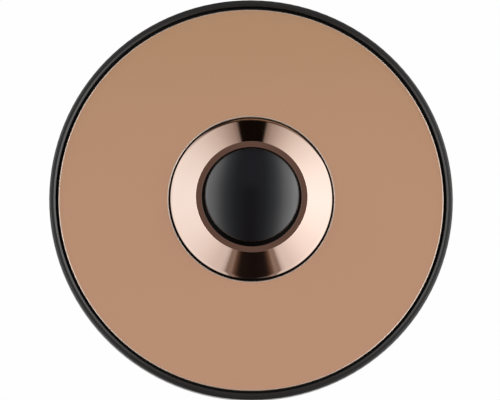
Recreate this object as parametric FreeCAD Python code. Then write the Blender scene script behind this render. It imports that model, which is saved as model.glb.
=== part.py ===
import FreeCAD, Part
import math
import os
from FreeCAD import Vector as V

# Round surface-mounted doorbell push button.
# Lengths in millimetres. The finished part stands as it hangs on the wall: +Z up, the wall is the plane Y = 0,
# and the button faces -Y. The origin is the middle of the base's back face.
#
# Every piece is first drawn lying on its back, with x to the right, y up the wall and z out from the wall,
# and the last lines turn it upright.

# ---------------------------------------------------------------- driving dimensions
# housing
R_OUT = 35.0            # largest radius, at the root of the lip
R_BACK = 33.75          # radius of the skirt at the wall
Z_BACK = 0.4            # gap that the skirt leaves to the wall
Z_WIDEST = 13.9         # depth of the largest radius
R_LIP_IN = 33.87        # wall of the recess
R_LAND = 34.27          # the lip's crest slopes down from here to the recess
Z_LAND = 15.58          # height of that slope at the recess
Z_SHOULDER = 15.61      # outwards the crest falls gently to this height
Z_LIP = 15.7            # crest of the lip
R_SKIRT_IN = 32.2       # inside of the skirt
Z_PANEL_BACK = 11.3     # back of the front panel
Z_PANEL = 14.0          # front of the panel, which the disc lies on
TAPE_T = 0.2            # thickness of the adhesive ring

# face disc
DISC_R = 33.45
DISC_T = 1.0
Z_DISC = Z_PANEL + DISC_T   # 15.0, the disc's face
DISC_HOLE_R = 14.22     # the collar's foot stands in this hole with a narrow gap all round

# collar
GASKET_T = 0.35
GASKET_R = 14.12
FOOT_R = 14.06          # outer radius of the collar
Z_FOOT = Z_PANEL + GASKET_T
BEVEL_R = 13.71         # where the cone rolls over into a steeper bevel
Z_BEVEL = 15.76
Z_WALL = 15.45          # top of the collar's short upright wall
CONE_R = 9.66           # top edge of the cone
Z_RIM = 18.0            # flat rim round the button
RIM_R = 8.58            # bore at the rim
RIM_T = 1.25            # thickness of the rim
CHAMBER_R = 9.8         # bore that the cap's flange slides in
SHANK_R = 11.15
Z_SHANK = 7.6           # back end of the shank
SEAT_R = 10.0           # bore that the bush sits in
Z_SEAT = 11.0           # shoulder that the bush stops at

# button
CAP_R = 8.09
NECK_R = 7.94          # the cap's side tapers to this radius at the rim
Z_NECK = 17.9
Z_CROWN = 21.65
DOME_SAG = 1.4          # how much the dome falls from crown to edge
CAP_WALL = 1.7
Z_CEILING = 18.55       # inside of the dome
Z_SKIRT = 13.95         # back end of the cap's skirt
FLANGE_R = 9.5
FLANGE_T = 1.2
STEM_W = 4.0            # square stem
TIP_R = 1.55            # round tip of the stem
Z_TIP = 5.9
TRAVEL = 2.0            # how far the button goes in

# contacts
STRIP_T = 0.8
Z_STRIP = 3.5           # underside of the fixed contacts
RIVET_R = 1.3
RIVET_T = 0.4
RIVET_X = 5.0
TERMINAL_X = 15.0
CONTACT_GAP = TRAVEL + 0.03

# base
BASE_R = 31.9
BASE_T = 2.5
SCREW_X = 25.0          # the wall screws stand 50 mm apart on a level line
SCREW_HOLE_R = 2.1
CABLE_Y = -17.0
CABLE_R = 3.0           # hole of the grommet
LOCK_Z = 5.0            # axis of the locking screw

# ---------------------------------------------------------------- helpers


def rounded(points):
    """Closed wire in the x-z plane through (x, z, corner radius) points."""
    n = len(points)
    ends = []
    for i in range(n):
        x, z, f = points[i]
        p = V(x, 0, z)
        if f <= 0:
            ends.append((p, None, p))
            continue
        a = V(points[i - 1][0], 0, points[i - 1][1]) - p
        b = V(points[(i + 1) % n][0], 0, points[(i + 1) % n][1]) - p
        a.normalize()
        b.normalize()
        half = math.acos(max(-1.0, min(1.0, a.dot(b)))) / 2
        run = f / math.tan(half)
        bis = a + b
        bis.normalize()
        middle = p + bis * (f / math.sin(half) - f)
        ends.append((p + a * run, middle, p + b * run))
    edges = []
    for i in range(n):
        start, middle, stop = ends[i]
        if middle is not None:
            edges.append(Part.Arc(start, middle, stop).toShape())
        nxt = ends[(i + 1) % n][0]
        if (nxt - stop).Length > 1e-6:
            edges.append(Part.LineSegment(stop, nxt).toShape())
    return Part.Wire(edges)


def turned(points):
    """Solid of revolution about z from a rounded outline of (radius, z, corner radius)."""
    return Part.Face(rounded(points)).revolve(V(0, 0, 0), V(0, 0, 1), 360)


def ring(r_in, r_out, z0, z1, f=0.0):
    return turned([(r_in, z0, f), (r_out, z0, f), (r_out, z1, f), (r_in, z1, f)])


def cyl(r, z0, z1, x=0.0, y=0.0):
    return Part.makeCylinder(r, z1 - z0, V(x, y, z0))


def block(x0, x1, y0, y1, z0, z1):
    return Part.makeBox(x1 - x0, y1 - y0, z1 - z0, V(x0, y0, z0))


def plate(x0, x1, y0, y1, z0, z1, f):
    """Block with its four upright edges rounded."""
    b = block(x0, x1, y0, y1, z0, z1)
    edges = [
        e for e in b.Edges
        if abs(e.Vertexes[0].X - e.Vertexes[1].X) < 1e-9 and abs(e.Vertexes[0].Y - e.Vertexes[1].Y) < 1e-9
    ]
    return b.makeFillet(f, edges)


def turn_z(shape, degrees):
    s = shape.copy()
    s.rotate(V(0, 0, 0), V(0, 0, 1), degrees)
    return s


def fuse(first, *others):
    s = first
    for o in others:
        s = s.fuse(o)
    return s.removeSplitter()


def cut(first, *others):
    s = first
    for o in others:
        s = s.cut(o)
    return s


def pan_screw(head_r, head_h, shank_r, z_under, z_tip, point=0.3):
    """Pan-head screw on the z axis with a cross recess. Its thread is left plain at the outer radius."""
    z_top = z_under + head_h
    body = turned([
        (0, z_tip, 0), (shank_r - point, z_tip, 0), (shank_r, z_tip + point, 0), (shank_r, z_under, 0),
        (head_r, z_under, 0.15), (head_r, z_top, head_h * 0.55), (0, z_top, 0),
    ])
    w, l, d = head_r * 0.26, head_r * 1.15, head_h * 0.5
    cross = block(-l / 2, l / 2, -w / 2, w / 2, z_top - d, z_top + 1).fuse(
        block(-w / 2, w / 2, -l / 2, l / 2, z_top - d, z_top + 1))
    return body.cut(cross)


def moved(shape, x=0.0, y=0.0, z=0.0):
    s = shape.copy()
    s.translate(V(x, y, z))
    return s


parts = {}

# ---------------------------------------------------------------- housing
# Front shell: skirt with a slight draft, lip with a broad outer round, recess for the disc and a panel behind it.
shell = turned([
    (R_BACK, Z_BACK, 0.25),
    (R_OUT, Z_WIDEST, 0.6),
    (R_OUT - 0.05, Z_SHOULDER, 0.36),
    (R_LAND, Z_LIP, 0.4),
    (R_LIP_IN, Z_LAND, 0.06),
    (R_LIP_IN, Z_PANEL - TAPE_T, 0.0),
    (25.8, Z_PANEL - TAPE_T, 0.0),
    (25.8, Z_PANEL, 0.0),
    (11.3, Z_PANEL, 0.0),
    (11.3, Z_PANEL_BACK, 0.2),
    (R_SKIRT_IN, Z_PANEL_BACK, 1.2),
    (R_SKIRT_IN, Z_BACK, 0.2),
])
# stiffening ribs and a ring rib behind the panel
rib_ring = ring(16.4, 17.6, 9.9, Z_PANEL_BACK + 0.2)
shell = shell.fuse(rib_ring)
for k in range(6):
    rib = turn_z(block(17.0, R_SKIRT_IN + 0.6, -0.6, 0.6, 9.3, Z_PANEL_BACK + 0.3), 60 * k)
    shell = shell.fuse(rib)
# two hooks on the inside of the skirt that reach behind the base's catches
HOOKS = (62.0, 118.0)
for angle in HOOKS:
    hook = turn_z(block(31.4, R_SKIRT_IN + 0.7, -3.5, 3.5, 2.9, 4.4), angle)
    hook = hook.common(cyl(R_SKIRT_IN + 0.9, 2.0, 5.0))
    shell = shell.fuse(hook)
shell = shell.removeSplitter()
# countersunk hole for the locking screw, straight up through the bottom of the skirt
hole = Part.makeCylinder(1.65, 6.0, V(0, -30.0, LOCK_Z), V(0, -1, 0))
sink = Part.makeCone(1.65, 3.35, 1.7, V(0, -32.0, LOCK_Z), V(0, -1, 0))
mouth = Part.makeCylinder(3.35, 3.0, V(0, -33.7, LOCK_Z), V(0, -1, 0))
shell = cut(shell, hole, sink, mouth)
parts["front_shell"] = shell

# Face disc: flat metal disc, both edges rounded over on the face.
parts["face_disc"] = turned([
    (DISC_HOLE_R, Z_PANEL, 0.0), (DISC_R, Z_PANEL, 0.1), (DISC_R, Z_DISC, 0.25), (DISC_HOLE_R, Z_DISC, 0.28),
])

# Double-sided tape under the disc's edge.
parts["adhesive_ring"] = ring(26.1, 33.0, Z_PANEL - TAPE_T, Z_PANEL)

# ---------------------------------------------------------------- collar and its fixings
collar = turned([
    (RIM_R, Z_RIM, 0.12),
    (RIM_R, Z_RIM - RIM_T, 0.0),
    (CHAMBER_R, Z_RIM - RIM_T, 0.2),
    (CHAMBER_R, Z_SEAT, 0.0),
    (SEAT_R, Z_SEAT, 0.0),
    (SEAT_R, 9.25, 0.0),
    (10.35, 9.25, 0.0),
    (10.35, 8.35, 0.0),
    (SEAT_R, 8.35, 0.0),
    (SEAT_R, Z_SHANK, 0.0),
    (SHANK_R - 0.3, Z_SHANK, 0.0),
    (SHANK_R, Z_SHANK + 0.3, 0.0),
    (SHANK_R, Z_FOOT, 0.0),
    (FOOT_R, Z_FOOT, 0.1),
    (FOOT_R, Z_WALL, 0.1),
    (BEVEL_R, Z_BEVEL, 1.6),
    (CONE_R, Z_RIM, 0.1),
])
key_slot = block(-0.85, 0.85, 9.6, 10.7, Z_SHANK - 0.1, Z_SEAT)
parts["collar"] = collar.cut(key_slot)

# Sealing washer between the collar's foot and the panel, inside the disc's hole.
parts["collar_gasket"] = ring(11.5, GASKET_R, Z_PANEL, Z_FOOT, 0.08)

# Hex nut, 26 mm across flats, its corners turned off on both faces.
hexagon = Part.makePolygon([
    V(13 / math.cos(math.pi / 6) * math.cos(math.radians(60 * k + 30)),
      13 / math.cos(math.pi / 6) * math.sin(math.radians(60 * k + 30)), 8.0) for k in range(7)])
nut = Part.Face(hexagon).extrude(V(0, 0, 2.6))
nut = nut.common(turned([(0, 8.0, 0), (13.4, 8.0, 0), (15.02, 8.75, 0), (15.02, 9.85, 0), (13.4, 10.6, 0), (0, 10.6, 0)]))
parts["collar_nut"] = nut.cut(cyl(SHANK_R + 0.05, 7.0, 11.0))

# Toothed lock washer between nut and panel.
washer = ring(SHANK_R + 0.1, 13.6, 10.6, Z_PANEL_BACK)
for k in range(15):
    washer = washer.cut(turn_z(block(11.0, 12.35, -0.55, 0.55, 10.5, 11.4), 24 * k))
parts["lock_washer"] = washer

# Bush in the back of the collar: carries the spring, guides the square stem, and is keyed to the collar.
bush = turned([
    (0, 9.2, 0), (SEAT_R - 0.06, 9.2, 0.15), (SEAT_R - 0.06, Z_SEAT, 0.0), (3.4, Z_SEAT, 0.0), (3.4, 12.3, 0.4), (0, 12.3, 0),
])
bush = bush.fuse(block(-0.75, 0.75, 9.5, 10.6, 9.25, Z_SEAT - 0.02)).removeSplitter()
parts["spring_retainer"] = bush.cut(plate(-2.15, 2.15, -2.15, 2.15, 8.0, 13.0, 0.4))

# Open ring in the collar's groove, its gap at the bottom with two eyes for pliers.
snap = ring(9.15, 10.3, 8.4, 9.2)
snap = snap.cut(block(-1.3, 1.3, -11.0, -8.0, 8.0, 9.6))
for sx in (-1, 1):
    eye = cyl(1.0, 8.4, 9.2, sx * 2.2, -8.7)
    snap = snap.fuse(eye)
snap = snap.removeSplitter()
for sx in (-1, 1):
    snap = snap.cut(cyl(0.45, 8.0, 9.6, sx * 2.2, -8.6))
parts["retaining_ring"] = snap

# ---------------------------------------------------------------- button
dome_r = (CAP_R ** 2 + DOME_SAG ** 2) / (2 * DOME_SAG)
z_flange = Z_RIM - RIM_T - 0.03
EDGE_F = 0.2            # rounding between dome and side
zc = Z_CROWN - dome_r
zf = zc + math.sqrt((dome_r - EDGE_F) ** 2 - (CAP_R - EDGE_F) ** 2)
slant = V(CAP_R - EDGE_F, 0, zf - zc)
slant.normalize()
shoulder = V(0, 0, zc) + slant * dome_r                       # where the dome ends and the rounding starts
low = V(CAP_R, 0, zf)
turn = slant + V(1, 0, 0)
turn.normalize()
mid_f = V(CAP_R - EDGE_F, 0, zf) + turn * EDGE_F
lean = math.asin(shoulder.x / dome_r) / 2
mid_d = V(math.sin(lean) * dome_r, 0, zc + math.cos(lean) * dome_r)
crown = V(0, 0, Z_CROWN)
outline = Part.Wire([
    Part.LineSegment(V(0, 0, Z_SKIRT), V(NECK_R, 0, Z_SKIRT)).toShape(),
    Part.LineSegment(V(NECK_R, 0, Z_SKIRT), V(NECK_R, 0, Z_NECK)).toShape(),
    Part.LineSegment(V(NECK_R, 0, Z_NECK), low).toShape(),
    Part.Arc(low, mid_f, shoulder).toShape(),
    Part.Arc(shoulder, mid_d, crown).toShape(),
    Part.LineSegment(crown, V(0, 0, Z_SKIRT)).toShape(),
])
outer = Part.Face(outline).revolve(V(0, 0, 0), V(0, 0, 1), 360)
flange = turned([
    (CAP_R - 0.5, z_flange - FLANGE_T, 0), (FLANGE_R, z_flange - FLANGE_T, 0.25), (FLANGE_R, z_flange, 0.15),
    (CAP_R - 0.5, z_flange, 0),
])
outer = outer.fuse(flange).removeSplitter()
hollow = turned([
    (0, Z_SKIRT - 1, 0), (CAP_R - CAP_WALL, Z_SKIRT - 1, 0), (CAP_R - CAP_WALL, Z_CEILING, 0.8), (0, Z_CEILING, 0),
])
cap = outer.cut(hollow)
half = STEM_W / 2
z_bridge = Z_STRIP + STRIP_T + RIVET_T + CONTACT_GAP + RIVET_T     # underside of the bridge at rest
stem = plate(-half, half, -half, half, z_bridge + STRIP_T, Z_CEILING + 0.5, 0.45)
tip = turned([(0, Z_TIP, 0), (TIP_R, Z_TIP, 0.3), (TIP_R, z_bridge + STRIP_T + 0.3, 0), (0, z_bridge + STRIP_T + 0.3, 0)])
stem = stem.fuse(tip)
z_clip = z_bridge - 0.63
stem = stem.cut(ring(1.2, 3.0, z_clip - 0.02, z_clip + 0.62))
# four ribs join the stem to the dome's inside
for k in range(4):
    stem = stem.fuse(turn_z(block(1.5, 3.3, -0.5, 0.5, Z_CEILING - 1.2, Z_CEILING + 0.3), 90 * k))
cap = fuse(cap, stem)
parts["button_cap"] = cap

# Helical compression spring: centre line of constant pitch, round wire.
SPRING_R, WIRE_R, TURNS = 4.1, 0.3, 5.0
z0, z1 = Z_SEAT + WIRE_R + 0.03, Z_CEILING - WIRE_R - 0.03
pitch = (z1 - z0) / TURNS
helix = Part.makeHelix(pitch, z1 - z0, SPRING_R)
helix.translate(V(0, 0, z0))
rise = pitch / (2 * math.pi * SPRING_R)
direction = V(0, 1, rise)
direction.normalize()
section = Part.Wire([Part.Circle(V(SPRING_R, 0, z0), direction, WIRE_R).toShape()])
path = Part.Wire(helix.Edges)
spring = path.makePipeShell([section], True, True)
parts["return_spring"] = Part.Solid(spring) if spring.ShapeType != "Solid" else spring

# Bridge strip across the stem's tip, with its two rivets and the clip below it.
bridge = plate(-6.8, 6.8, -2.0, 2.0, z_bridge, z_bridge + STRIP_T, 0.8)
bridge = cut(bridge, cyl(TIP_R + 0.03, 0, 20), cyl(0.72, 0, 20, RIVET_X), cyl(0.72, 0, 20, -RIVET_X))
parts["contact_bridge"] = bridge


def rivet(head_below, z_strip):
    """Contact rivet: broad contact head on one side of a strip and a small closing head on the other."""
    zb, zt = z_strip, z_strip + STRIP_T
    if head_below:
        return turned([(0, zb - RIVET_T, 0), (RIVET_R, zb - RIVET_T, 0.15), (RIVET_R, zb, 0), (0.7, zb, 0), (0.7, zt, 0),
                       (1.1, zt, 0), (1.1, zt + 0.3, 0.12), (0, zt + 0.3, 0)])
    return turned([(0, zb - 0.3, 0), (1.1, zb - 0.3, 0.12), (1.1, zb, 0), (0.7, zb, 0), (0.7, zt, 0),
                   (RIVET_R, zt, 0), (RIVET_R, zt + RIVET_T, 0.15), (0, zt + RIVET_T, 0)])


up = rivet(True, z_bridge)
parts["bridge_rivets"] = Part.makeCompound([moved(up, RIVET_X), moved(up, -RIVET_X)])

clip = ring(1.23, 3.0, z_clip, z_clip + 0.6)
clip = clip.cut(block(-0.95, 0.95, -4.0, 0.0, 0, 20))
for k in (35, 145):
    clip = clip.cut(turn_z(block(1.8, 2.45, -0.75, 0.75, 0, 20), k))
parts["bridge_clip"] = clip

# ---------------------------------------------------------------- base on the wall
base = cyl(BASE_R, 0, BASE_T)
base = base.fuse(ring(29.4, 31.2, BASE_T - 0.5, 6.5))
# boss for the locking screw's insert
boss = plate(-4.3, 4.3, -33.0, -25.3, 0.5, 8.8, 0.8).common(cyl(BASE_R - 0.2, 0, 9))
base = base.fuse(boss)
# catches for the shell's hooks
for angle in HOOKS:
    catch = turn_z(block(30.8, 33.0, -3.2, 3.2, 4.5, 6.2), angle).common(cyl(32.0, 4, 7))
    base = base.fuse(catch)
# landings for the wall screws
for sx in (-1, 1):
    base = base.fuse(cyl(4.8, BASE_T - 0.5, 3.1, sx * SCREW_X, 0))
# two pegs that locate the switch carrier
for sx in (-1, 1):
    base = base.fuse(cyl(1.45, BASE_T - 0.5, 3.4, -sx * 11.0, sx * 6.2))
base = base.removeSplitter()
for sx in (-1, 1):
    base = base.cut(cyl(SCREW_HOLE_R, -1, 4, sx * SCREW_X, 0))
    base = base.cut(cyl(1.2, 0.6, 4, sx * 11.0, sx * 6.2))
base = cut(base, cyl(5.0, -1, 4, 0, CABLE_Y), cyl(6.6, -1, 1.0, 0, CABLE_Y))
base = base.cut(Part.makeCylinder(2.0, 8.0, V(0, -24.9, LOCK_Z), V(0, -1, 0)))
# groove for the seal in the back
base = base.cut(ring(28.2, 30.4, -1, 1.2))
# outline of a knock-out for a second cable, on the back only
base = base.cut(moved(ring(4.5, 5.1, -1, 1.4), 0, 17.0))
parts["wall_base"] = base

parts["wall_seal"] = ring(28.25, 30.35, 0.0, 1.2, 0.0)

parts["cable_grommet"] = moved(turned([
    (CABLE_R, 0.0, 0), (6.3, 0.0, 0.3), (6.3, 1.0, 0.0), (4.95, 1.0, 0), (4.95, BASE_T, 0), (6.3, BASE_T, 0),
    (6.3, 3.6, 0.5), (CABLE_R, 3.6, 0),
]), 0, CABLE_Y)

# Threaded insert and locking screw, drawn on the z axis and then laid down along -y.
insert = ring(1.5, 1.97, 0.0, 5.0)
for z in (1.2, 2.4, 3.6):
    insert = insert.cut(ring(1.8, 3.0, z, z + 0.35))
insert.rotate(V(0, 0, 0), V(1, 0, 0), 90)       # z runs towards -y
insert.translate(V(0, -26.0, LOCK_Z))
parts["locking_insert"] = insert

lock = turned([
    (0, 0, 0), (1.15, 0, 0), (1.45, 0.3, 0), (1.45, 6.25, 0), (2.95, 7.75, 0), (2.95, 8.0, 0), (0, 8.0, 0),
])
socket = Part.Face(Part.makePolygon([
    V(1.0 / math.cos(math.pi / 6) * math.cos(math.radians(60 * k)),
      1.0 / math.cos(math.pi / 6) * math.sin(math.radians(60 * k)), 6.6) for k in range(7)])).extrude(V(0, 0, 2.0))
lock = lock.cut(socket)
lock.rotate(V(0, 0, 0), V(1, 0, 0), 90)
lock.translate(V(0, -25.85, LOCK_Z))
parts["locking_screw"] = lock

# ---------------------------------------------------------------- switch
carrier = plate(-20.0, 20.0, -9.0, 9.0, BASE_T, Z_STRIP, 3.0)
for sy in (-1, 1):
    carrier = carrier.fuse(block(-7.0, 7.0, sy * 6.9 - 0.7, sy * 6.9 + 0.7, Z_STRIP - 0.5, 6.0))
for sx in (-1, 1):
    carrier = carrier.fuse(block(sx * 19.3 - 0.6, sx * 19.3 + 0.6, -4.6, 4.6, Z_STRIP - 0.5, 5.8))
carrier = carrier.removeSplitter()
carrier = carrier.cut(cyl(2.6, BASE_T - 1, 4))
for sx in (-1, 1):
    carrier = carrier.cut(cyl(2.55, BASE_T - 1, 4, sx * TERMINAL_X, 0))
    carrier = carrier.cut(cyl(1.35, BASE_T - 1, 4, sx * RIVET_X, 0))
    carrier = carrier.cut(cyl(1.3, BASE_T - 1, 4, sx * 11.0, sx * 6.2))
    carrier = carrier.cut(cyl(1.5, BASE_T - 1, 4, -sx * 11.0, sx * 6.2))
parts["switch_carrier"] = carrier

z_top = Z_STRIP + STRIP_T
for name, sx in (("contact_left", -1), ("contact_right", 1)):
    xs = sorted((sx * 3.5, sx * 18.5))
    strip = plate(xs[0], xs[1], -2.2, 2.2, Z_STRIP, z_top, 0.6)
    xt = sorted((sx * 11.6, sx * 18.5))
    strip = strip.fuse(plate(xt[0], xt[1], -3.2, 3.2, Z_STRIP, z_top, 0.6))
    strip = strip.fuse(cyl(2.4, Z_STRIP - 0.7, Z_STRIP + 0.2, sx * TERMINAL_X, 0)).removeSplitter()
    strip = strip.cut(cyl(1.5, 0, 8, sx * TERMINAL_X, 0))
    strip = strip.cut(cyl(0.72, 0, 8, sx * RIVET_X, 0))
    parts[name] = strip

down = rivet(False, Z_STRIP)
parts["contact_rivets"] = Part.makeCompound([moved(down, RIVET_X), moved(down, -RIVET_X)])

# Clamp plates: square, with two turned-up sides that stop them from spinning.
clamp = plate(-3.3, 3.3, -3.1, 3.1, z_top, z_top + 0.8, 0.4)
clamp = clamp.fuse(block(2.7, 3.3, -2.2, 2.2, z_top + 0.5, z_top + 1.6)).fuse(
    block(-3.3, -2.7, -2.2, 2.2, z_top + 0.5, z_top + 1.6)).removeSplitter()
clamp = clamp.cut(cyl(1.6, 0, 9))
parts["terminal_clamps"] = Part.makeCompound([moved(clamp, TERMINAL_X), moved(clamp, -TERMINAL_X)])

terminal = pan_screw(2.6, 1.8, 1.45, z_top + 0.8, 2.7)
parts["terminal_screws"] = Part.makeCompound([moved(terminal, TERMINAL_X), moved(terminal, -TERMINAL_X)])

tapping = pan_screw(2.3, 1.5, 1.15, Z_STRIP, 0.9)
parts["carrier_screws"] = Part.makeCompound([moved(tapping, 11.0, 6.2), moved(tapping, -11.0, -6.2)])

# ---------------------------------------------------------------- turn upright and write
os.makedirs("parts", exist_ok=True)
for name, shape in parts.items():
    s = shape.copy()
    s.rotate(V(0, 0, 0), V(1, 0, 0), 90)        # z (out from the wall) becomes -Y, y (up) becomes +Z
    solids = s.Solids
    print(f"{name}: {len(solids)} solid(s), valid {s.isValid()}, {sum(x.Volume for x in solids):.1f} mm3")
    out = solids[0] if len(solids) == 1 else Part.makeCompound(solids)
    out.exportStep(f"parts/{name}.step")
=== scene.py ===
import math
import bpy
import bmesh
import numpy as np
from mathutils import Matrix, Vector


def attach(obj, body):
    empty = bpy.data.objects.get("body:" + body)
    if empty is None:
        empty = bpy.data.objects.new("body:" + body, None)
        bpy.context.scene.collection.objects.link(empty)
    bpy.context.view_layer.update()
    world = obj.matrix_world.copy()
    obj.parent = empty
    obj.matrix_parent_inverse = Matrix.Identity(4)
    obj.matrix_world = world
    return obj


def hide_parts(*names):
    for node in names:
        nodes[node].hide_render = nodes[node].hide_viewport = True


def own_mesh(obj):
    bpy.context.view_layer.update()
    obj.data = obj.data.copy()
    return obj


# Round doorbell push button: black housing ring, satin copper disc, polished conical collar, glossy black button.
# Metres. The wall is the plane y = 0, the button faces -y, +z is up.

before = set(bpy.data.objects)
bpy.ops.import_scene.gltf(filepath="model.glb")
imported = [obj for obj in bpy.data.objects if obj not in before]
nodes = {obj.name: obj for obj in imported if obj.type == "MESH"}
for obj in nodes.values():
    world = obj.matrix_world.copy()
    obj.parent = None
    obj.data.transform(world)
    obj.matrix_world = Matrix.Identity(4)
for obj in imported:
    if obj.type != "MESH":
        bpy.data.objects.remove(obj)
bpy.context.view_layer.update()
scene = bpy.context.scene

# ---------------------------------------------------------------- material helpers


class Mat:
    """A Principled material with a few short-cuts for procedural nodes. Coordinates are the object's own, in metres."""

    def __init__(self, name, **sockets):
        self.m = bpy.data.materials.new(name)
        self.m.use_nodes = True
        self.t = self.m.node_tree
        self.p = self.t.nodes["Principled BSDF"]
        for k, v in sockets.items():
            self.set(k, v)
        tc = self.t.nodes.new("ShaderNodeTexCoord")
        self.co = tc.outputs["Object"]

    def set(self, name, value):
        s = self.p.inputs[name.replace("_", " ")] if name.replace("_", " ") in self.p.inputs else self.p.inputs[name]
        if isinstance(value, tuple) and len(value) == 3:
            value = (*value, 1.0)
        s.default_value = value

    def node(self, kind, **props):
        n = self.t.nodes.new(kind)
        for k, v in props.items():
            setattr(n, k, v)
        return n

    def link(self, a, b):
        self.t.links.new(a, b)

    def noise(self, scale, detail=3.0, rough=0.55, co=None, distortion=0.0):
        n = self.node("ShaderNodeTexNoise")
        n.inputs["Scale"].default_value = scale
        n.inputs["Detail"].default_value = detail
        n.inputs["Roughness"].default_value = rough
        n.inputs["Distortion"].default_value = distortion
        self.link(co or self.co, n.inputs["Vector"])
        return n.outputs["Fac"]

    def ramp(self, fac, stops, interpolation="LINEAR"):
        r = self.node("ShaderNodeValToRGB")
        r.color_ramp.interpolation = interpolation
        e = r.color_ramp.elements
        while len(e) < len(stops):
            e.new(0.5)
        for el, (pos, col) in zip(e, stops):
            el.position = pos
            el.color = (*col, 1.0) if isinstance(col, tuple) else (col, col, col, 1.0)
        self.link(fac, r.inputs["Fac"])
        return r.outputs["Color"]

    def span(self, fac, low, high, a=0.3, b=0.7):
        """fac from a..b onto low..high."""
        n = self.node("ShaderNodeMapRange")
        for k, v in (("From Min", a), ("From Max", b), ("To Min", low), ("To Max", high)):
            n.inputs[k].default_value = v
        self.link(fac, n.inputs["Value"])
        return n.outputs["Result"]

    def step(self, v, a, b):
        """Smooth step from 0 at a to 1 at b."""
        n = self.node("ShaderNodeMapRange", interpolation_type="SMOOTHSTEP")
        n.inputs["From Min"].default_value = a
        n.inputs["From Max"].default_value = b
        self.link(v, n.inputs["Value"])
        return n.outputs["Result"]

    def math(self, op, a, b=None, c=None, clamp=False):
        n = self.node("ShaderNodeMath", operation=op, use_clamp=clamp)
        for i, v in enumerate((a, b, c)):
            if v is None:
                continue
            if isinstance(v, (int, float)):
                n.inputs[i].default_value = v
            else:
                self.link(v, n.inputs[i])
        return n.outputs[0]

    def mix(self, fac, a, b, blend="MIX"):
        n = self.node("ShaderNodeMix", data_type="RGBA", blend_type=blend)
        for i, v in ((0, fac), (6, a), (7, b)):
            if isinstance(v, (int, float)):
                n.inputs[i].default_value = v
            elif isinstance(v, tuple):
                n.inputs[i].default_value = (*v, 1.0)
            else:
                self.link(v, n.inputs[i])
        return n.outputs[2]

    def bump(self, height, distance, strength=1.0, under=None):
        n = self.node("ShaderNodeBump")
        n.inputs["Strength"].default_value = strength
        n.inputs["Distance"].default_value = distance
        self.link(height, n.inputs["Height"])
        if under is not None:
            self.link(under, n.inputs["Normal"])
        return n.outputs["Normal"]

    def out(self, name, socket):
        self.link(socket, self.p.inputs[name])

    def radius(self):
        """Distance from the object's axis, and the angle round it."""
        s = self.node("ShaderNodeSeparateXYZ")
        self.link(self.co, s.inputs[0])
        x, z = s.outputs["X"], s.outputs["Z"]
        rr = self.math("ADD", self.math("MULTIPLY", x, x), self.math("MULTIPLY", z, z))
        return self.math("SQRT", rr), self.math("ARCTAN2", z, x), s.outputs["Y"]


def gloss_black(name, base, rough, peel=0.25e-5, shade_mask=None, matt=0.55):
    """Polished black moulding: faint flow variation and slight orange peel. The mask it is given marks where shade is
    painted near-black into the colour and the roughness is raised by matt.
    """
    m = Mat(name, Specular_IOR_Level=0.5, IOR=1.5)
    broad = m.noise(90.0, 3.0)
    fine = m.noise(2600.0, 4.0)
    colour = m.ramp(broad, [(0.3, tuple(c * 0.9 for c in base)), (0.7, tuple(c * 1.1 for c in base))])
    level = m.span(m.math("ADD", m.math("MULTIPLY", broad, 0.4), m.math("MULTIPLY", fine, 0.6)), rough * 0.9, rough * 1.15)
    if shade_mask is not None:
        mask = shade_mask(m)
        # painted shade: where masked, the colour is painted near-black, as the shade in that hollow would be
        colour = m.mix(mask, colour, (0.0015, 0.0015, 0.0015))
        level = m.math("ADD", level, m.math("MULTIPLY", mask, matt), clamp=True)
    m.out("Base Color", colour)
    m.out("Roughness", level)
    n = m.bump(m.noise(700.0, 2.0), peel, 1.0)
    m.out("Normal", m.bump(fine, peel * 0.25, 1.0, n))
    return m.m


def satin_plate(name, base, rough):
    """Bead-blasted and plated flat disc: a fine even grain, polished bevels at both edges, and painted shade that
    darkens it towards the top.
    """
    m = Mat(name, Metallic=1.0)
    r, angle, y = m.radius()
    grain = m.noise(16000.0, 3.0, 0.6)
    soft = m.noise(35.0, 2.0)
    tone = m.math("ADD", m.math("MULTIPLY", grain, 0.5), m.math("MULTIPLY", soft, 0.5))
    colour = m.ramp(tone, [(0.3, tuple(c * 0.985 for c in base)), (0.7, tuple(min(1.0, c * 1.015) for c in base))])
    bevel = m.step(m.math("ABSOLUTE", m.math("SUBTRACT", r, 0.02387)), 0.00925, 0.00936)
    # painted shade: the colour grows darker towards the top, standing in for light that falls from below
    sep = m.node("ShaderNodeSeparateXYZ")
    m.link(m.co, sep.inputs[0])
    painted_top_shade = m.ramp(m.span(sep.outputs["Z"], 0.0, 1.0, -0.036, 0.036), [(0.0, (1.0, 1.0, 1.0)), (0.5, (0.985, 0.985, 0.975)), (1.0, (0.888, 0.903, 0.815))])
    colour = m.mix(1.0, colour, painted_top_shade, "MULTIPLY")
    m.out("Base Color", m.mix(bevel, colour, (0.87, 0.71, 0.60)))
    level = m.span(grain, rough * 0.96, rough * 1.04)
    m.out("Roughness", m.math("MULTIPLY", level, m.math("SUBTRACT", 1.0, m.math("MULTIPLY", bevel, 0.44))))
    m.out("Normal", m.bump(grain, 0.8e-6, 1.0))
    return m.m


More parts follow.
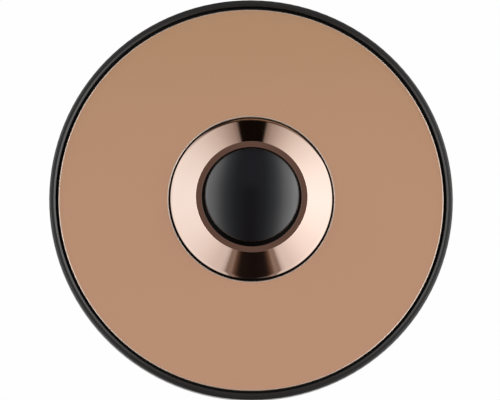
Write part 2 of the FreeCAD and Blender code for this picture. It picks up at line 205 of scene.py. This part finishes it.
def metal(name, base, rough, grain=9000.0, depth=0.6e-6, vary=0.03, turned=0.0, stretch=None, shade_mask=None):
    """Metal with slight colour variation, fine grain and, if asked, concentric turning marks. The mask it is given
    marks where shade is painted dark into the colour.
    """
    m = Mat(name, Metallic=1.0)
    broad = m.noise(120.0, 4.0)
    colour = m.ramp(broad, [(0.3, tuple(c * (1 - vary) for c in base)), (0.7, tuple(min(1.0, c * (1 + vary)) for c in base))])
    if shade_mask is not None:
        # painted shade: where masked, the metal's colour is painted a near-black brown
        colour = m.mix(shade_mask(m), colour, (0.035, 0.022, 0.016))
    m.out("Base Color", colour)
    co = m.co
    if stretch is not None:
        mp = m.node("ShaderNodeMapping")
        mp.inputs["Scale"].default_value = stretch
        m.link(m.co, mp.inputs["Vector"])
        co = mp.outputs["Vector"]
    g = m.noise(grain, 3.0, 0.6, co)
    m.out("Roughness", m.span(m.math("ADD", m.math("MULTIPLY", broad, 0.5), m.math("MULTIPLY", g, 0.5)), rough * 0.88, rough * 1.14))
    n = m.bump(g, depth, 1.0)
    if turned > 0:
        r, angle, y = m.radius()
        c = m.node("ShaderNodeCombineXYZ")
        m.link(m.math("MULTIPLY", r, 16000.0), c.inputs[0])
        m.link(m.math("MULTIPLY", y, 16000.0), c.inputs[1])
        m.link(m.math("MULTIPLY", angle, 0.15), c.inputs[2])
        n = m.bump(m.noise(1.0, 3.0, 0.6, c.outputs[0]), turned, 1.0, n)
    m.out("Normal", n)
    return m.m


def moulded(name, base, rough, grain=5200.0, depth=2.2e-6, flow=0.12):
    """Matt moulded plastic with a spark-eroded skin."""
    m = Mat(name, Specular_IOR_Level=0.45)
    broad = m.noise(70.0, 4.0)
    g = m.noise(grain, 4.0, 0.6)
    m.out("Base Color", m.ramp(m.math("ADD", m.math("MULTIPLY", broad, 0.75), m.math("MULTIPLY", g, 0.25)),
                               [(0.3, tuple(c * (1 - flow) for c in base)), (0.7, tuple(c * (1 + flow) for c in base))]))
    m.out("Roughness", m.span(g, rough * 0.85, min(1.0, rough * 1.15)))
    m.out("Normal", m.bump(g, depth, 1.0))
    return m.m


def rubber(name, base=(0.012, 0.012, 0.012)):
    m = Mat(name, Specular_IOR_Level=0.4)
    broad, g = m.noise(160.0, 3.0), m.noise(7000.0, 3.0)
    m.out("Base Color", m.ramp(m.math("ADD", m.math("MULTIPLY", broad, 0.6), m.math("MULTIPLY", g, 0.4)),
                               [(0.3, tuple(c * 0.75 for c in base)), (0.7, tuple(c * 1.7 for c in base))]))
    m.out("Roughness", m.span(g, 0.62, 0.82))
    m.out("Normal", m.bump(g, 1.6e-6, 1.0))
    return m.m


def recess(m):
    """Floor and wall of the recess that the disc lies in, where the shade in the groove is painted near-black and the
    roughness raised.
    """
    r, angle, y = m.radius()
    return m.math("MULTIPLY", m.step(r, 0.03393, 0.03387), m.step(y, -0.01555, -0.0154))


def cap_side(m):
    """Upright side of the cap, from where its rounded edge ends, with the flange and everything inside, painted
    near-black as the shade in the gap under the cap's edge.
    """
    r, angle, y = m.radius()
    return m.step(y, -0.02022, -0.02008)


def collar_foot(m):
    """Upright wall at the foot of the collar, painted dark as the shade in the gap round it."""
    r, angle, y = m.radius()
    return m.math("MULTIPLY", m.step(r, 0.01395, 0.01401), m.step(y, -0.01560, -0.01550))


# ---------------------------------------------------------------- materials
mats = {
    "front_shell": gloss_black("black_housing", (0.024, 0.0232, 0.0234), 0.16, shade_mask=recess),
    "button_cap": gloss_black("black_button", (0.0064, 0.0080, 0.0116), 0.08, peel=0.1e-5, shade_mask=cap_side, matt=0.02),
    "face_disc": satin_plate("satin_copper", (0.677, 0.419, 0.281), 0.66),
    "collar": metal("polished_copper", (0.90, 0.695, 0.59), 0.06, grain=9000.0, depth=0.05e-6, vary=0.012, turned=0.03e-6, shade_mask=collar_foot),
    "collar_gasket": rubber("gasket_rubber", (0.003, 0.003, 0.003)),
    "collar_nut": metal("nut_brass", (0.78, 0.58, 0.27), 0.28, vary=0.05),
    "lock_washer": metal("washer_zinc", (0.62, 0.63, 0.64), 0.34, vary=0.05),
    "retaining_ring": metal("ring_black_oxide", (0.06, 0.06, 0.065), 0.38, vary=0.1),
    "return_spring": metal("spring_wire", (0.52, 0.52, 0.53), 0.3, vary=0.05),
    "contact_bridge": metal("bridge_brass", (0.78, 0.58, 0.27), 0.26, vary=0.05, stretch=(0.15, 1.0, 1.0)),
    "bridge_rivets": metal("bridge_silver", (0.88, 0.87, 0.84), 0.22, vary=0.03),
    "contact_rivets": metal("contact_silver", (0.88, 0.87, 0.84), 0.22, vary=0.03),
    "bridge_clip": metal("clip_black_oxide", (0.06, 0.06, 0.065), 0.38, vary=0.1),
    "contact_left": metal("left_brass", (0.78, 0.58, 0.27), 0.27, vary=0.05, stretch=(0.15, 1.0, 1.0)),
    "contact_right": metal("right_brass", (0.78, 0.58, 0.27), 0.27, vary=0.05, stretch=(0.15, 1.0, 1.0)),
    "locking_insert": metal("insert_brass", (0.78, 0.58, 0.27), 0.3, vary=0.05),
    "locking_screw": metal("lock_black_oxide", (0.05, 0.05, 0.055), 0.33, vary=0.12),
    "terminal_clamps": metal("clamp_zinc", (0.62, 0.63, 0.64), 0.33, vary=0.05),
    "terminal_screws": metal("terminal_zinc", (0.66, 0.67, 0.68), 0.28, vary=0.05),
    "carrier_screws": metal("tapping_zinc", (0.66, 0.67, 0.68), 0.28, vary=0.05),
    "spring_retainer": moulded("bush_acetal", (0.70, 0.69, 0.65), 0.42, depth=0.6e-6, flow=0.03),
    "switch_carrier": moulded("carrier_thermoset", (0.60, 0.54, 0.42), 0.5, depth=0.8e-6, flow=0.05),
    "wall_base": moulded("base_plastic", (0.018, 0.018, 0.019), 0.52),
    "wall_seal": rubber("seal_rubber", (0.010, 0.010, 0.0105)),
    "cable_grommet": rubber("grommet_rubber", (0.014, 0.014, 0.0145)),
    "adhesive_ring": moulded("tape_foam", (0.42, 0.42, 0.40), 0.8, depth=3e-6, flow=0.06),
}
for name, mat in mats.items():
    o = nodes[name]
    for s in o.material_slots:
        s.material = mat
    if not o.material_slots:
        raise RuntimeError("no material slot on " + name)

# ---------------------------------------------------------------- turned pieces
# Outlines in millimetres: (radius, distance from the wall, corner radius). They repeat the frame's own sections.


def outline(points):
    """Lines and arcs of a closed outline, each as (kind, start, stop, centre, radius, sign or normal)."""
    n = len(points)
    area = sum(points[i][0] * points[(i + 1) % n][1] - points[(i + 1) % n][0] * points[i][1] for i in range(n))
    turn = 1.0 if area > 0 else -1.0            # 1 when the outline runs anticlockwise
    ends = []
    for i in range(n):
        x, z, f = points[i]
        p = Vector((x, z))
        if f <= 0:
            ends.append((p, None, p, 0.0, 0.0))
            continue
        a = (Vector(points[i - 1][:2]) - p).normalized()
        b = (Vector(points[(i + 1) % n][:2]) - p).normalized()
        half = a.angle(b) / 2
        run = f / math.tan(half)
        centre = p + (a + b).normalized() * (f / math.sin(half))
        convex = turn * ((-a).x * b.y - (-a).y * b.x) > 0
        ends.append((p + a * run, centre, p + b * run, f, 1.0 if convex else -1.0))
    parts = []
    for i in range(n):
        start, centre, stop, f, sign = ends[i]
        if centre is not None:
            parts.append(("arc", start, stop, centre, f, sign))
        nxt = ends[(i + 1) % n][0]
        if (nxt - stop).length > 1e-6:
            d = (nxt - stop).normalized()
            parts.append(("line", stop, nxt, None, 0.0, Vector((d.y, -d.x)) * turn))
    return parts


def lathe(name, points, segments, step):
    """Solid of revolution about the y axis with fine round corners and the exact normals."""
    rows = []                                   # (point, next point, normal here, normal there)
    for kind, start, stop, centre, f, how in outline(points):
        if kind == "line":
            rows.append((start, stop, how, how))
            continue
        u, v = start - centre, stop - centre
        count = max(2, math.ceil(math.degrees(u.angle(v)) / step))
        arc = [centre + (u * math.sin((1 - t) * u.angle(v)) + v * math.sin(t * u.angle(v))) / math.sin(u.angle(v))
               for t in (k / count for k in range(count + 1))]
        for p, q in zip(arc, arc[1:]):
            rows.append((p, q, (p - centre).normalized() * how, (q - centre).normalized() * how))
    m = len(rows)
    verts, faces, normals = [], [], []
    around = [(math.cos(2 * math.pi * k / segments), math.sin(2 * math.pi * k / segments)) for k in range(segments)]
    for c, sn in around:
        verts.extend((p.x * c / 1000, -p.y / 1000, p.x * sn / 1000) for p, q, a, b in rows)
    p, q, a, b = rows[0]
    edge = Vector((q.x - p.x, -(q.y - p.y), 0.0))
    flip = edge.cross(Vector((0, 0, 1))).dot(Vector((a.x, -a.y, 0.0))) < 0
    for k in range(segments):
        k2 = (k + 1) % segments
        c1, c2 = around[k], around[k2]
        for j in range(m):
            j2 = (j + 1) % m
            a, b = rows[j][2], rows[j][3]
            quad = [(k * m + j, a, c1), (k * m + j2, b, c1), (k2 * m + j2, b, c2), (k2 * m + j, a, c2)]
            if flip:
                quad.reverse()
            faces.append([v for v, nn, cc in quad])
            normals.extend((nn.x * cc[0], -nn.y, nn.x * cc[1]) for v, nn, cc in quad)
    me = bpy.data.meshes.new(name)
    me.from_pydata(verts, [], faces)
    me.polygons.foreach_set("use_smooth", [True] * len(faces))
    me.normals_split_custom_set(normals)
    me.update()
    return me


def turned_copy(node, outlines, domes=()):
    """The frame's mesh with the exact normal at every corner that lies on one of these turned surfaces.
    domes are (height of the centre, radius) of spheres on the axis, in millimetres."""
    me = nodes[node].data.copy()
    count = len(me.vertices)
    co = np.empty(count * 3)
    me.vertices.foreach_get("co", co)
    co = co.reshape(-1, 3) * 1000.0
    r, h = np.hypot(co[:, 0], co[:, 2]), -co[:, 1]
    safe = np.maximum(r, 1e-9)
    radial = np.stack([co[:, 0] / safe, np.zeros(count), co[:, 2] / safe], 1)
    axial = np.array([0.0, -1.0, 0.0])
    tri = np.empty(len(me.polygons) * 3, dtype=np.int64)
    me.loops.foreach_get("vertex_index", tri)
    tri = tri.reshape(-1, 3)
    a, b, c = (co[tri[:, k]] for k in range(3))
    face = np.cross(b - a, c - a)
    face /= np.maximum(np.linalg.norm(face, axis=1), 1e-12)[:, None]
    best = np.full(len(tri), 0.2)
    normal = np.empty(len(me.loops) * 3)
    me.corner_normals.foreach_get("vector", normal)
    normal = normal.reshape(-1, 3, 3)
    near = 0.004
    surfaces = []
    for points in outlines:
        for kind, start, stop, centre, f, how in outline(points):
            if kind == "line":
                d = stop - start
                length = d.length
                along = ((r - start.x) * d.x + (h - start.y) * d.y) / length
                off = np.abs((r - start.x) * d.y - (h - start.y) * d.x) / length
                surfaces.append(((off < near) & (along > -near) & (along < length + near),
                                 np.full(count, how.x), np.full(count, how.y)))
            else:
                ux, uz = r - centre.x, h - centre.y
                far = np.hypot(ux, uz)
                m1 = (start + stop) / 2 - centre
                cosine = (ux * m1.x + uz * m1.y) / np.maximum(far * m1.length, 1e-9)
                spread = math.cos((start - centre).angle(stop - centre) / 2 + near / f)
                surfaces.append(((np.abs(far - f) < near) & (cosine > spread), how * ux / np.maximum(far, 1e-9),
                                 how * uz / np.maximum(far, 1e-9)))
    for height, radius, lowest in domes:
        far = np.hypot(r, h - height)
        surfaces.append(((np.abs(far - radius) < near) & (h > lowest - near), r / far, (h - height) / far))
    for on, nr, nh in surfaces:
        exact = radial * nr[:, None] + axial * nh[:, None]
        corner = exact[tri]
        fit = np.einsum("ij,ikj->ik", face, corner).min(axis=1)
        pick = on[tri].all(axis=1) & (fit > best)
        best[pick] = fit[pick]
        normal[pick] = corner[pick]
    me.polygons.foreach_set("use_smooth", [True] * len(me.polygons))
    me.normals_split_custom_set(normal.reshape(-1, 3).tolist())
    me.update()
    print(node, "corners set exactly:", int((best > 0.2).sum()), "of", len(tri))
    return me


def stand_in(name, me, node, body):
    o = bpy.data.objects.new(name, me)
    scene.collection.objects.link(o)
    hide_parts(node)
    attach(o, body)
    return o


disc_mesh = lathe("disc_plate", [(14.22, 14.0, 0.0), (33.45, 14.0, 0.1), (33.45, 15.0, 0.25), (14.22, 15.0, 0.28)], 720, 6.0)
disc_mesh.materials.append(mats["face_disc"])
stand_in("disc_plate", disc_mesh, "face_disc", "housing")

shell_outline = [
    (33.75, 0.4, 0.25), (35.0, 13.9, 0.6), (34.95, 15.61, 0.36), (34.27, 15.7, 0.4), (33.87, 15.58, 0.06), (33.87, 13.8, 0.0),
    (25.8, 13.8, 0.0), (25.8, 14.0, 0.0), (11.3, 14.0, 0.0), (11.3, 11.3, 0.2), (32.2, 11.3, 1.2), (32.2, 0.4, 0.2),
]
stand_in("housing_shell", turned_copy("front_shell", [shell_outline]), "front_shell", "housing")

collar_outline = [
    (8.58, 18.0, 0.12), (8.58, 16.75, 0.0), (9.8, 16.75, 0.2), (9.8, 11.0, 0.0), (10.0, 11.0, 0.0), (10.0, 9.25, 0.0),
    (10.35, 9.25, 0.0), (10.35, 8.35, 0.0), (10.0, 8.35, 0.0), (10.0, 7.6, 0.0), (10.85, 7.6, 0.0), (11.15, 7.9, 0.0),
    (11.15, 14.35, 0.0), (14.06, 14.35, 0.1), (14.06, 15.45, 0.1), (13.71, 15.76, 1.6), (9.66, 18.0, 0.1),
]
stand_in("turned_collar", turned_copy("collar", [collar_outline]), "collar", "housing")

CAP_R, Z_CROWN, DOME_SAG, EDGE_F = 8.09, 21.65, 1.4, 0.2
dome_r = (CAP_R ** 2 + DOME_SAG ** 2) / (2 * DOME_SAG)
z_dome = Z_CROWN - dome_r
z_edge = z_dome + math.sqrt((dome_r - EDGE_F) ** 2 - (CAP_R - EDGE_F) ** 2)
edge_top = Vector((CAP_R - EDGE_F, z_edge - z_dome)).normalized() * dome_r + Vector((0, z_dome))


def cap_surfaces():
    """The cap's outline with the dome's edge as a rounded corner between tangents."""
    t = Vector((z_edge - z_dome, -(CAP_R - EDGE_F))).normalized()          # tangent where the dome ends
    k = (CAP_R - edge_top.x) / t.x
    corner = edge_top + t * k
    return [(CAP_R, 13.95, 0.0), (corner.x, corner.y, EDGE_F), (edge_top.x - t.x, edge_top.y - t.y, 0.0), (0.5, 13.95, 0.0)]


side_outline = [(7.94, 13.95, 0.0), (7.94, 17.9, 0.0), (CAP_R, z_edge, 0.0), (0.5, z_edge, 0.0), (0.5, 13.95, 0.0)]
flange_outline = [(7.59, 15.52, 0.0), (9.5, 15.52, 0.25), (9.5, 16.72, 0.15), (7.59, 16.72, 0.0)]
stand_in("button_moulding", turned_copy("button_cap", [cap_surfaces(), side_outline, flange_outline], [(z_dome, dome_r, edge_top.y)]),
         "button_cap", "button")

spring = stand_in("coil_spring", nodes["return_spring"].data.copy(), "return_spring", "housing")
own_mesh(spring)

# ---------------------------------------------------------------- floor, far below the object
FLOOR_Z = -0.42
bm = bmesh.new()
bmesh.ops.create_circle(bm, cap_ends=True, segments=96, radius=3.2, matrix=Matrix.Translation((0, 0, FLOOR_Z)))
me = bpy.data.meshes.new("floor")
bm.to_mesh(me)
bm.free()
floor = bpy.data.objects.new("floor", me)
scene.collection.objects.link(floor)
fm = Mat("floor_pale", Roughness=0.9, Specular_IOR_Level=0.1, Emission_Color=(1.0, 1.0, 1.0), Emission_Strength=0.2)
fm.out("Base Color", fm.ramp(fm.noise(3.0, 2.0), [(0.3, (0.92, 0.92, 0.92)), (0.7, (0.95, 0.95, 0.95))]))
me.materials.append(fm.m)
floor.visible_glossy = False
floor.visible_diffuse = False

# ---------------------------------------------------------------- studio light
# Two broad soft sources left and right of the camera with a dark gap between them, as a function of direction.
world = bpy.data.worlds.new("studio")
scene.world = world
world.use_nodes = True
wt = world.node_tree
wt.nodes.clear()


def wnode(kind, **props):
    n = wt.nodes.new(kind)
    for k, v in props.items():
        setattr(n, k, v)
    return n


def wmath(op, a, b=None, c=None, clamp=False):
    n = wnode("ShaderNodeMath", operation=op, use_clamp=clamp)
    for i, v in enumerate((a, b, c)):
        if v is None:
            continue
        if isinstance(v, (int, float)):
            n.inputs[i].default_value = v
        else:
            wt.links.new(v, n.inputs[i])
    return n.outputs[0]


def wramp(fac, stops, interpolation="LINEAR"):
    r = wnode("ShaderNodeValToRGB")
    r.color_ramp.interpolation = interpolation
    e = r.color_ramp.elements
    while len(e) < len(stops):
        e.new(0.5)
    for el, (pos, col) in zip(e, stops):
        el.position = pos
        el.color = (*col, 1.0) if isinstance(col, tuple) else (col, col, col, 1.0)
    wt.links.new(fac, r.inputs["Fac"])
    return r.outputs["Color"]


def wstep(v, a, b):
    n = wnode("ShaderNodeMapRange", interpolation_type="SMOOTHSTEP")
    n.inputs["From Min"].default_value = a
    n.inputs["From Max"].default_value = b
    n.inputs["To Min"].default_value = 0.0
    n.inputs["To Max"].default_value = 1.0
    wt.links.new(v, n.inputs["Value"])
    return n.outputs["Result"]


def wmix(fac, a, b, blend="MIX"):
    n = wnode("ShaderNodeMix", data_type="RGBA", blend_type=blend)
    n.clamp_result = False
    for i, v in ((0, fac), (6, a), (7, b)):
        if isinstance(v, (int, float)):
            n.inputs[i].default_value = v
        elif isinstance(v, tuple):
            n.inputs[i].default_value = (*v, 1.0)
        else:
            wt.links.new(v, n.inputs[i])
    return n.outputs[2]


tc = wnode("ShaderNodeTexCoord")
sep = wnode("ShaderNodeSeparateXYZ")
wt.links.new(tc.outputs["Generated"], sep.inputs[0])
dx, dy, dz = sep.outputs["X"], sep.outputs["Y"], sep.outputs["Z"]

off_top = wmath("ABSOLUTE", wmath("SUBTRACT", dx, 0.035))
off_low = wmath("ABSOLUTE", wmath("SUBTRACT", dx, 0.044))
level = wmath("SQRT", wmath("ADD", wmath("MULTIPLY", dx, dx), wmath("MULTIPLY", dy, dy)))
lean = wmath("SUBTRACT", wmath("MULTIPLY", wstep(dz, 0.15, 0.60), 0.024), wmath("MULTIPLY", wstep(dz, 0.10, -0.25), 0.011))
off_front = wmath("DIVIDE", wmath("ABSOLUTE", wmath("SUBTRACT", dx, lean)), level)    # by bearing, as of upright soft boxes
G = 0.16    # ramps hold this share of the light, so that values over 1 fit


def stops(*rows):
    return [(p, tuple(G * c for c in col)) for p, col in rows]


# light met by rays that leave upwards, downwards and to the front, by their distance from the upright middle plane
top = wramp(off_top, stops((0.0, (0.0045, 0.0028, 0.002)), (0.136, (0.0045, 0.0028, 0.002)), (0.150, (0.10, 0.075, 0.065)),
                           (0.160, (0.235, 0.195, 0.175)), (0.175, (0.285, 0.235, 0.21)), (0.195, (0.335, 0.28, 0.255)),
                           (0.21, (0.385, 0.33, 0.30)), (0.24, (0.43, 0.37, 0.34)), (0.40, (0.70, 0.65, 0.62)),
                           (0.55, (0.88, 0.86, 0.85)), (0.70, (1.02, 1.03, 1.04)), (0.86, (1.15, 1.2, 1.25))))
low = wramp(off_low, stops((0.0, (0.009, 0.006, 0.0055)), (0.15, (0.012, 0.008, 0.007)), (0.175, (0.020, 0.013, 0.011)),
                           (0.195, (0.045, 0.026, 0.018)), (0.215, (0.085, 0.052, 0.037)), (0.235, (0.13, 0.08, 0.06)),
                           (0.250, (0.21, 0.155, 0.125)), (0.262, (0.285, 0.22, 0.185)), (0.29, (0.26, 0.20, 0.17)),
                           (0.318, (0.25, 0.195, 0.165)), (0.330, (0.40, 0.345, 0.315)), (0.345, (0.57, 0.53, 0.52)),
                           (0.36, (0.645, 0.605, 0.595)), (0.39, (0.74, 0.70, 0.69)), (0.46, (0.775, 0.735, 0.725)),
                           (0.60, (0.95, 0.92, 0.92)), (0.80, (1.10, 1.12, 1.14)), (1.0, (1.2, 1.2, 1.2))))
sides = ((0.282, (0.43, 0.42, 0.41)), (0.352, (0.68, 0.67, 0.66)), (0.423, (1.29, 1.27, 1.26)), (0.493, (2.3, 2.28, 2.26)),
         (0.564, (3.25, 3.23, 3.2)), (0.65, (5.0, 5.0, 5.0)), (0.76, (4.1, 4.1, 4.1)), (0.90, (2.2, 2.2, 2.2)))
front_low = wramp(off_front, stops((0.0, (0.120, 0.078, 0.066)), (0.08, (0.137, 0.097, 0.084)), (0.14, (0.19, 0.17, 0.16)),
                                   (0.21, (0.25, 0.235, 0.225)), *sides))
front_high = wramp(off_front, stops((0.0, (0.225, 0.175, 0.18)), (0.08, (0.225, 0.175, 0.18)), (0.14, (0.23, 0.19, 0.19)),
                                    (0.21, (0.27, 0.25, 0.245)), *sides))
front = wmix(wstep(dz, 0.16, 0.34), front_low, front_high)
lift = wmath("ADD", 1.0, wmath("MULTIPLY", wstep(dz, 0.10, -0.35), 0.10))
front = wmix(1.0, front, lift, "MULTIPLY")
zenith = wramp(wmath("ABSOLUTE", dx), stops((0.0, (0.034, 0.023, 0.019)), (0.26, (0.036, 0.025, 0.020)), (0.34, (0.08, 0.058, 0.050)),
                                            (0.44, (0.24, 0.20, 0.18)), (0.56, (0.50, 0.46, 0.44)), (0.66, (0.80, 0.77, 0.76)),
                                            (0.8, (1.1, 1.1, 1.1))))
under = wramp(wmath("ABSOLUTE", dx), stops((0.0, (0.03, 0.03, 0.035)), (0.10, (0.06, 0.06, 0.07)), (0.20, (0.5, 0.49, 0.5)),
                                           (0.5, (0.72, 0.71, 0.71)), (0.9, (1.0, 1.0, 1.0))))
top = wmix(wstep(dy, -0.37, -0.23), top, zenith)
low = wmix(wstep(dy, -0.30, -0.05), low, under)
ring = wmix(wstep(dz, -0.35, 0.15), low, top)
depth = wmath("SUBTRACT", dy, wmath("MULTIPLY", wstep(dz, 0.05, 0.40), 0.07))
light = wmix(wstep(depth, -0.68, -0.80), ring, front)
behind = wmix(wstep(dy, 0.10, 0.40), light, (0.85 * G, 0.85 * G, 0.85 * G))
tilt = wmath("ADD", wmath("MULTIPLY", dx, 0.114), 0.974)
bg = wnode("ShaderNodeBackground")
bg.inputs["Strength"].default_value = 1.0
wt.links.new(behind, bg.inputs["Color"])
wt.links.new(wmath("MULTIPLY", tilt, 1.0 / G), bg.inputs["Strength"])
white = wnode("ShaderNodeBackground")       # what is seen past the object: a white backdrop behind it, pale grey elsewhere
wt.links.new(wmix(wstep(dy, 0.55, 0.90), (0.80, 0.80, 0.79), (0.99, 0.99, 0.99)), white.inputs["Color"])
white.inputs["Strength"].default_value = 1.0
lp = wnode("ShaderNodeLightPath")
ms = wnode("ShaderNodeMixShader")
wt.links.new(lp.outputs["Is Camera Ray"], ms.inputs[0])
wt.links.new(bg.outputs[0], ms.inputs[1])
wt.links.new(white.outputs[0], ms.inputs[2])
wo = wnode("ShaderNodeOutputWorld")
wt.links.new(ms.outputs[0], wo.inputs[0])

# ---------------------------------------------------------------- camera
AZIMUTH, ELEVATION, DISTANCE = -1.55, -8.0, 0.700
PX_PER_M = 5774.0                       # at the disc's face
a, e = math.radians(AZIMUTH), math.radians(ELEVATION)
back = Vector((math.sin(a) * math.cos(e), -math.cos(a) * math.cos(e), math.sin(e)))
aim_at = Vector((0.0, -0.015, 0.0))
cam_data = bpy.data.cameras.new("camera")
cam = bpy.data.objects.new("camera", cam_data)
scene.collection.objects.link(cam)
quat = (-back).to_track_quat("-Z", "Y")
right, up = quat @ Vector((1, 0, 0)), quat @ Vector((0, 1, 0))
OFF_X, OFF_Y = 1.27, 1.0               # the disc's centre stands this many pixels right of and above the frame's
cam.location = aim_at + back * DISTANCE - right * (OFF_X / PX_PER_M) - up * (OFF_Y / PX_PER_M)
cam.rotation_mode = "QUATERNION"
cam.rotation_quaternion = quat
cam_data.sensor_width = 36.0
cam_data.lens = PX_PER_M * DISTANCE / 500.0 * 36.0
cam_data.clip_start, cam_data.clip_end = 0.01, 10.0
scene.camera = cam

scene.view_settings.view_transform = "Standard"
scene.view_settings.look = "None"
